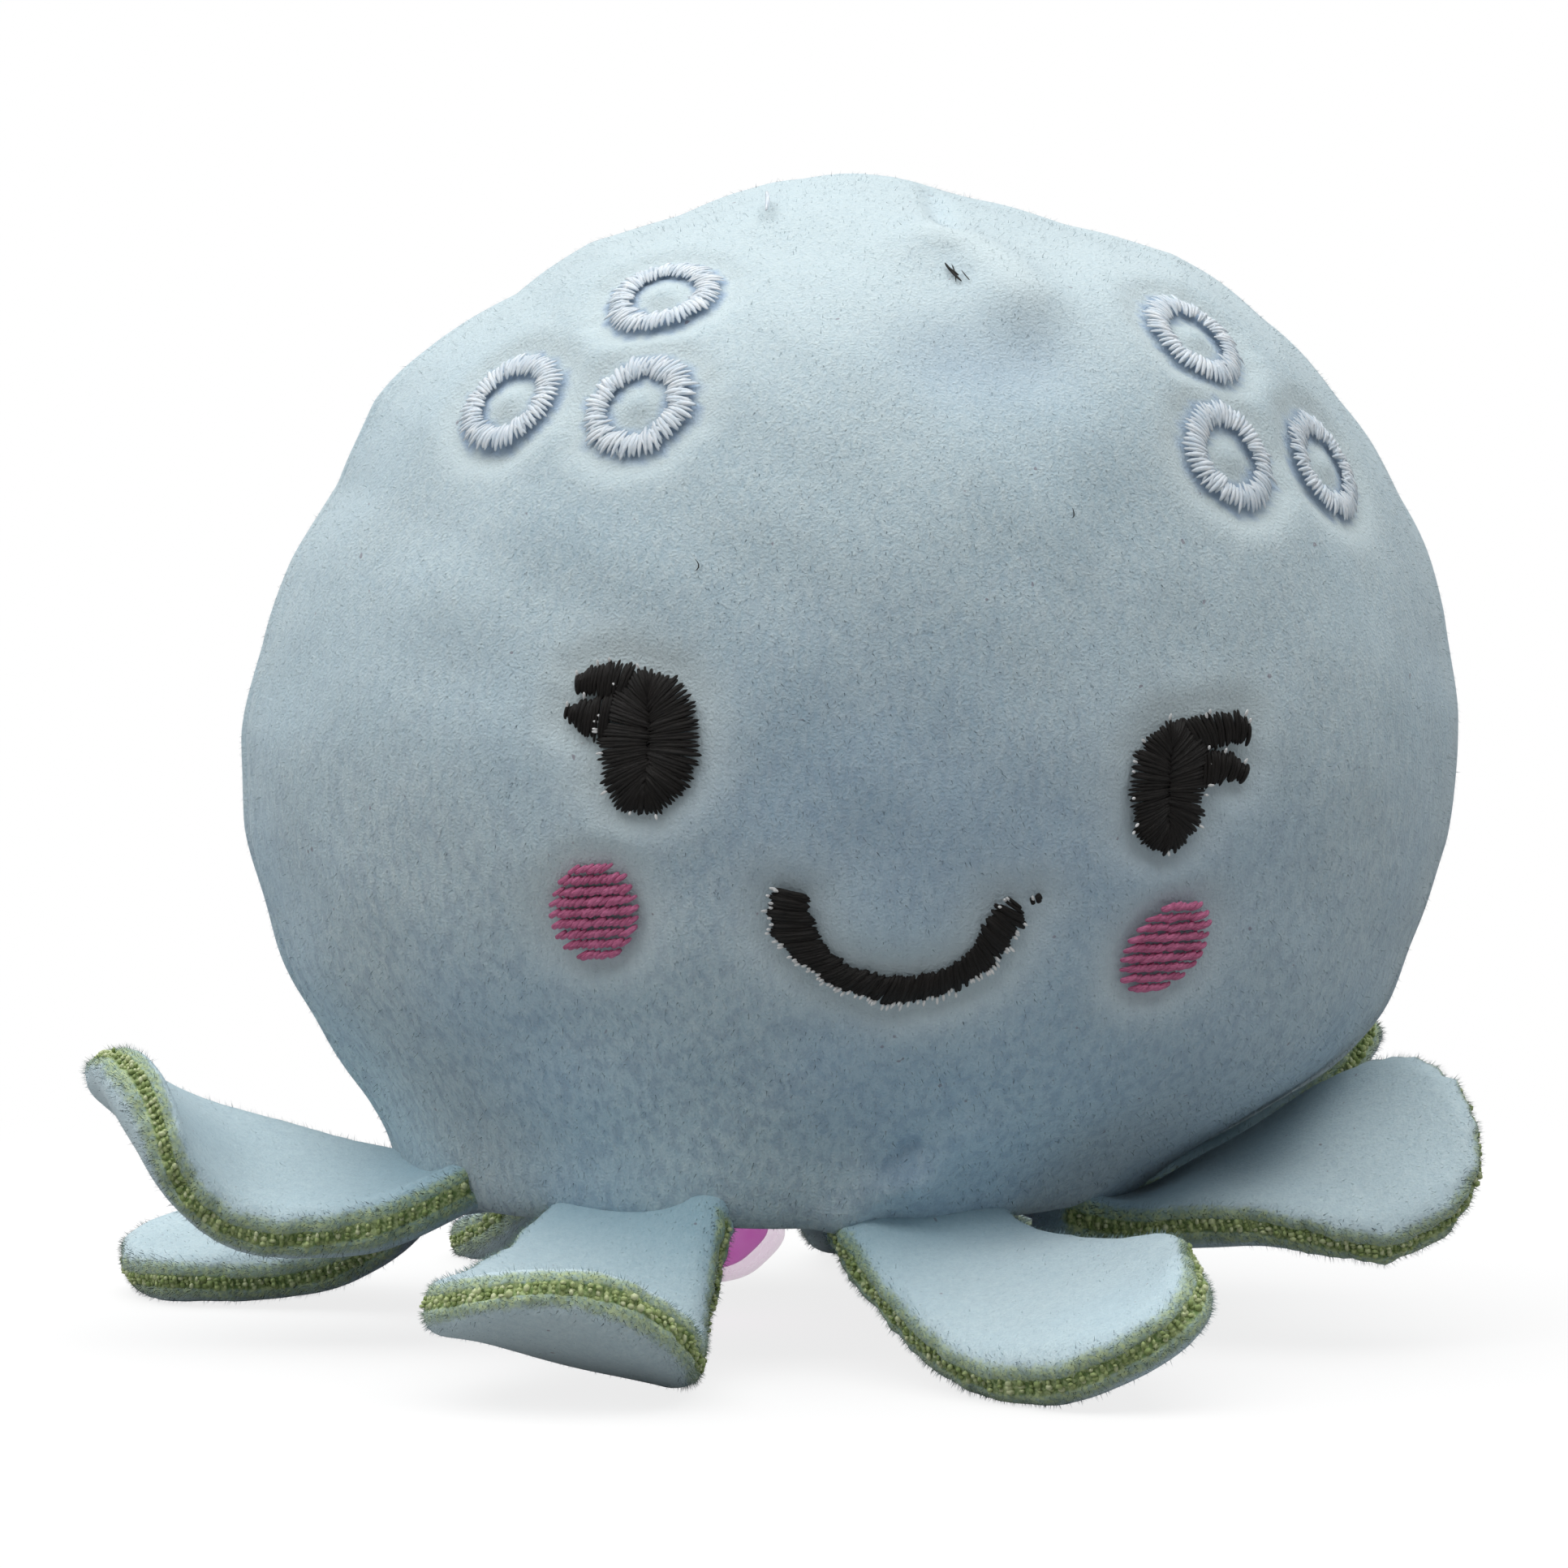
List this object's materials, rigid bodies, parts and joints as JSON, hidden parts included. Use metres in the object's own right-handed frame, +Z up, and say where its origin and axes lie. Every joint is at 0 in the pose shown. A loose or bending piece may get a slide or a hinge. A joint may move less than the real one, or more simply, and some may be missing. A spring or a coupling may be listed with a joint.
{
  "type": "plush octopus stress ball",
  "caption": "Pale blue plush octopus with a gel squeeze ball inside, petal legs and an embroidered face.",
  "frame": {"origin": "middle of the bounding box's underside, on the surface that the toy stands on", "axes": "+Z up through the crown, the face looks along -Y, +X towards the toy's own left side, which is the viewer's right"},
  "size_m": [0.0928, 0.0932, 0.0781],
  "materials": {
    "pale_blue_plush": "short pile",
    "pink_gel": "glossy",
    "black_thread": "satin stitch",
    "pink_thread": "satin stitch",
    "pale_thread": "satin stitch"
  },
  "bodies": {
    "root": {"front_panel": "pale_blue_plush", "back_panel": "pale_blue_plush", "base_panel": "pale_blue_plush", "squeeze_ball": "pink_gel", "leg_front_left": "pale_blue_plush", "leg_front_right": "pale_blue_plush", "leg_right_raised": "pale_blue_plush", "leg_back_right_curled": "pale_blue_plush", "leg_back_inner": "pale_blue_plush", "leg_back_outer": "pale_blue_plush", "leg_back_left": "pale_blue_plush", "leg_left_curled": "pale_blue_plush", "eye_left": "black_thread", "eye_right": "black_thread", "mouth": "black_thread", "cheek_left": "pink_thread", "cheek_right": "pink_thread", "ring_left_upper": "pale_thread", "ring_left_outer": "pale_thread", "ring_left_inner": "pale_thread", "ring_right_upper": "pale_thread", "ring_right_inner": "pale_thread", "ring_right_outer": "pale_thread"}
  },
  "joints": []
}
